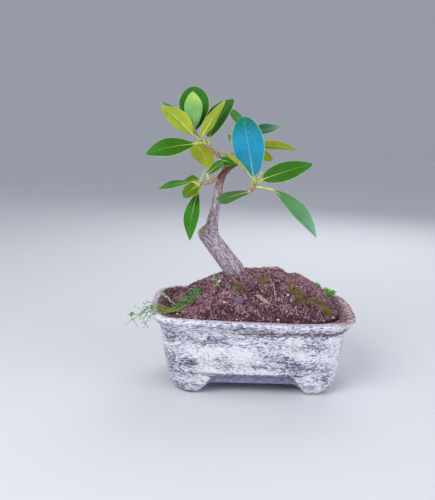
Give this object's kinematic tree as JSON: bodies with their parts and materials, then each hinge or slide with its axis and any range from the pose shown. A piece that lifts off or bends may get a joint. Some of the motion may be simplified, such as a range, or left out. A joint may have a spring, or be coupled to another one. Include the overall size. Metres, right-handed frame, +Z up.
{
  "type": "potted ficus bonsai",
  "caption": "Small ficus bonsai with a bent, cut-back trunk and glossy leaves, growing from mounded soil in a chalky, footed, rounded rectangular pot.",
  "frame": {"origin": "on the surface the feet stand on, under the middle of the whole plant's bounding box", "axes": "+Z up, +X along the pot towards the drooping leaf, +Y away from the front, where the blue leaf faces"},
  "size_m": [0.187, 0.1144, 0.2441],
  "materials": {
    "pot_clay": "matte",
    "potting_soil": "matte",
    "bark": "matte",
    "screen_mesh": "matte",
    "leaf_green": "satin",
    "leaf_deep": "satin",
    "leaf_mint": "satin",
    "leaf_yellow": "satin",
    "leaf_blue": "satin",
    "weed_green": "matte",
    "cushion_green": "matte",
    "dry_litter": "matte"
  },
  "bodies": {
    "root": {"pot": "pot_clay", "soil": "potting_soil", "tree_wood": "bark", "screen_left": "screen_mesh", "screen_right": "screen_mesh", "leaf_crown_back": "leaf_deep", "leaf_crown_front": "leaf_mint", "leaf_crown_left": "leaf_yellow", "leaf_crown_far_left": "leaf_deep", "leaf_crown_low_left": "leaf_deep", "leaf_crown_hanging": "leaf_yellow", "leaf_crown_right_low": "leaf_yellow", "leaf_crown_right_high": "leaf_green", "leaf_left_long": "leaf_green", "leaf_left_olive_front": "leaf_yellow", "leaf_left_olive_back": "leaf_yellow", "leaf_left_hanging": "leaf_green", "leaf_inner_front": "leaf_green", "leaf_inner_back": "leaf_green", "leaf_back_up": "leaf_green", "leaf_back_right_high": "leaf_green", "leaf_back_right_mid": "leaf_yellow", "leaf_back_right_low": "leaf_yellow", "leaf_back_left_small": "leaf_yellow", "leaf_blue": "leaf_blue", "leaf_right_band": "leaf_yellow", "leaf_right_high": "leaf_green", "leaf_right_drooping": "leaf_green", "leaf_right_inward": "leaf_green", "bud_right": "leaf_mint", "bud_left": "leaf_mint", "weed_mat_and_stems": "weed_green", "weed_stalk_tall": "weed_green", "weed_stalk_leaning": "weed_green", "weed_cushion_upper": "cushion_green", "weed_cushion_lower": "cushion_green", "dry_twig": "dry_litter", "dry_straw": "dry_litter", "bark_chip": "dry_litter"}
  },
  "joints": []
}
